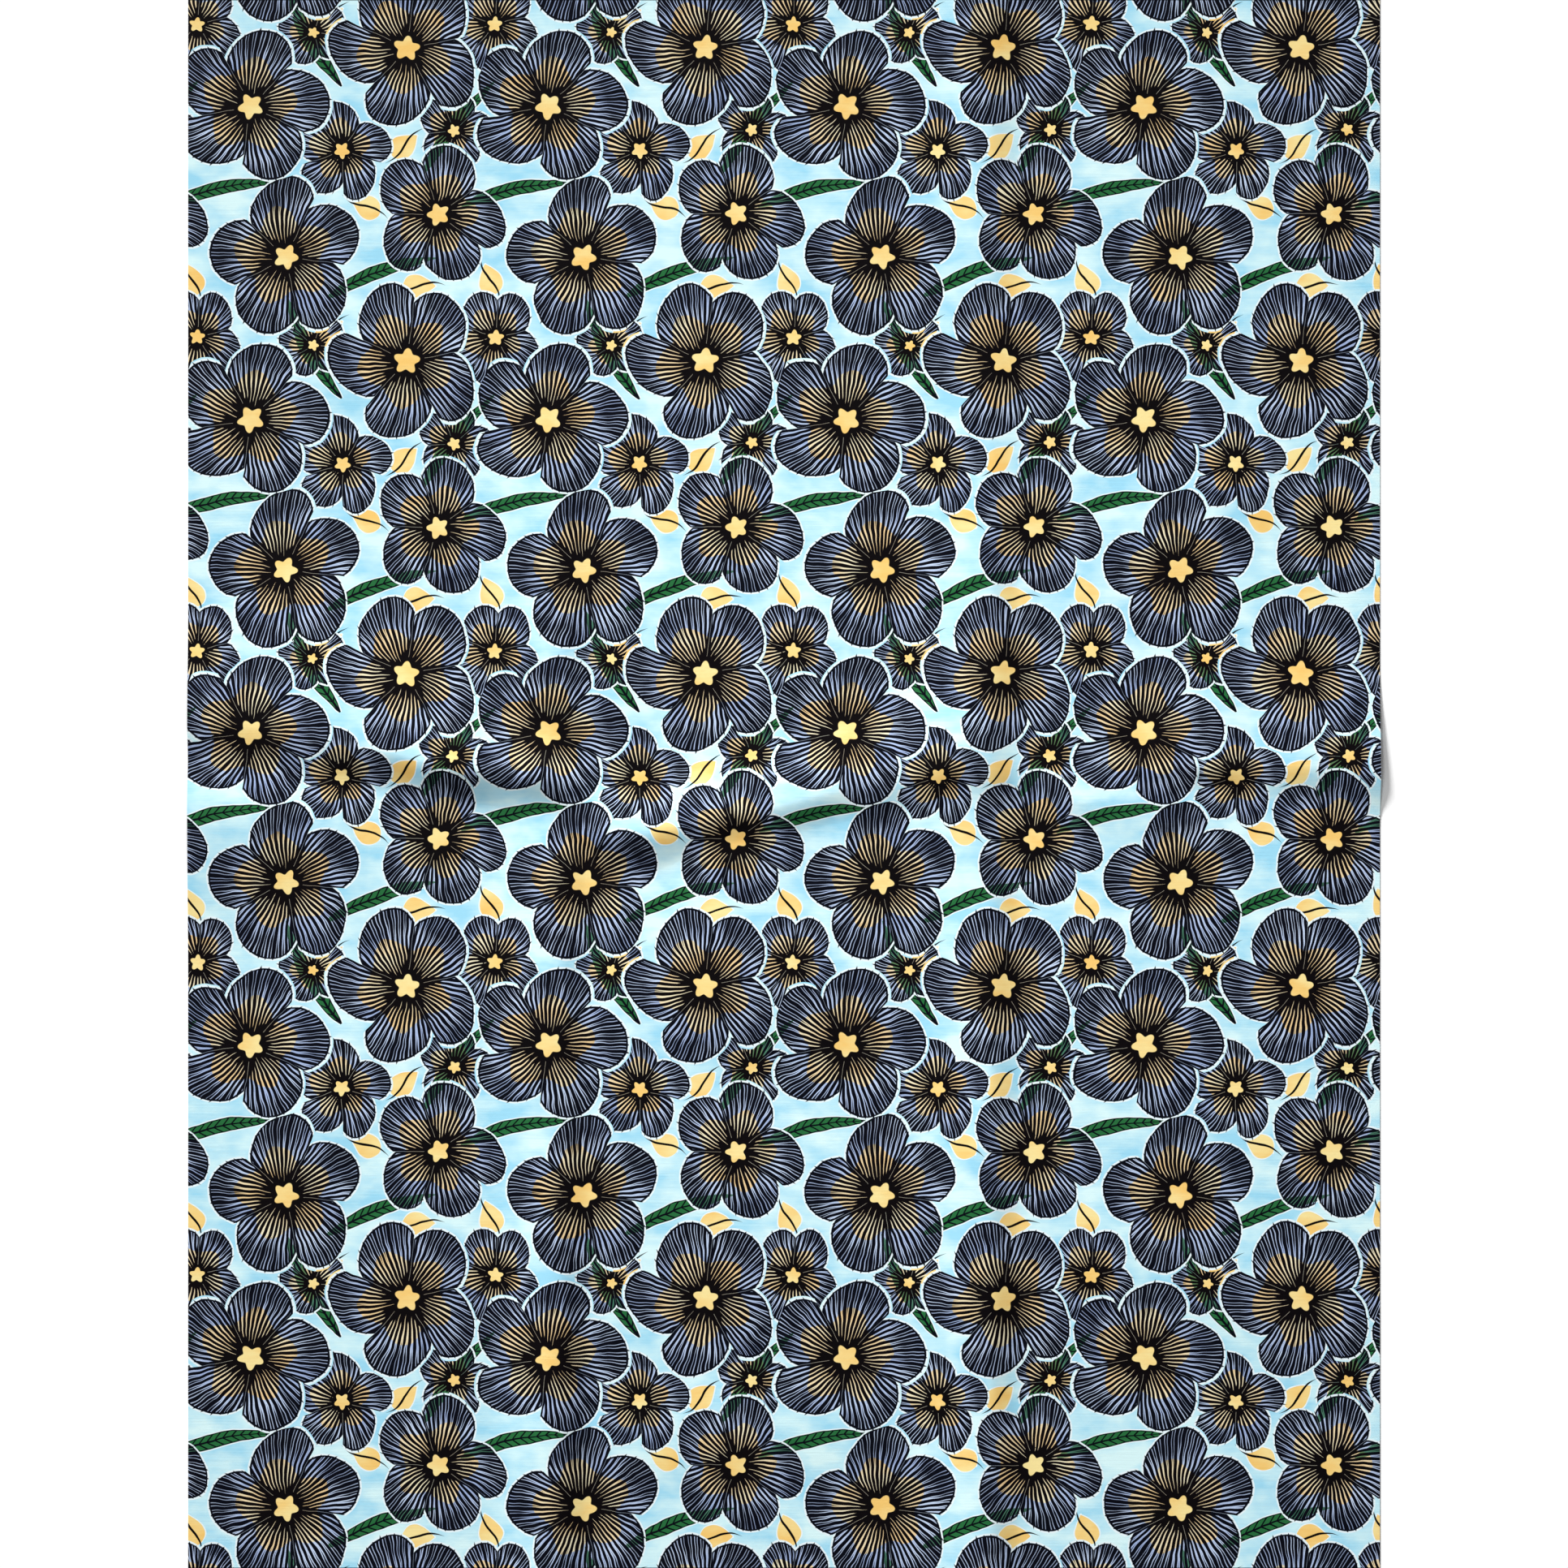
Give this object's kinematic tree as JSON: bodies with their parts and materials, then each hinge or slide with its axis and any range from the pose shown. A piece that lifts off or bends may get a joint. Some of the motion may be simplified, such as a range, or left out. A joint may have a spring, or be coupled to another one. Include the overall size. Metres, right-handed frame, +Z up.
{
  "type": "wax print fabric, one cut length lying flat",
  "caption": "Flat length of printed cotton cloth with a sprung fold along its middle and two low pressed folds across it.",
  "frame": {"origin": "on the surface under the cloth, at the middle of its length and width", "axes": "+X along the length cut from the bolt, +Y across the cloth from selvedge to selvedge, +Z up from the surface through the cloth"},
  "size_m": [0.9144, 1.2154, 0.0103],
  "materials": {
    "wax_print_cotton": "plain weave cotton with a smooth, faintly waxy finish, printed right through"
  },
  "bodies": {
    "root": {"cloth_panel": "wax_print_cotton"}
  },
  "joints": []
}
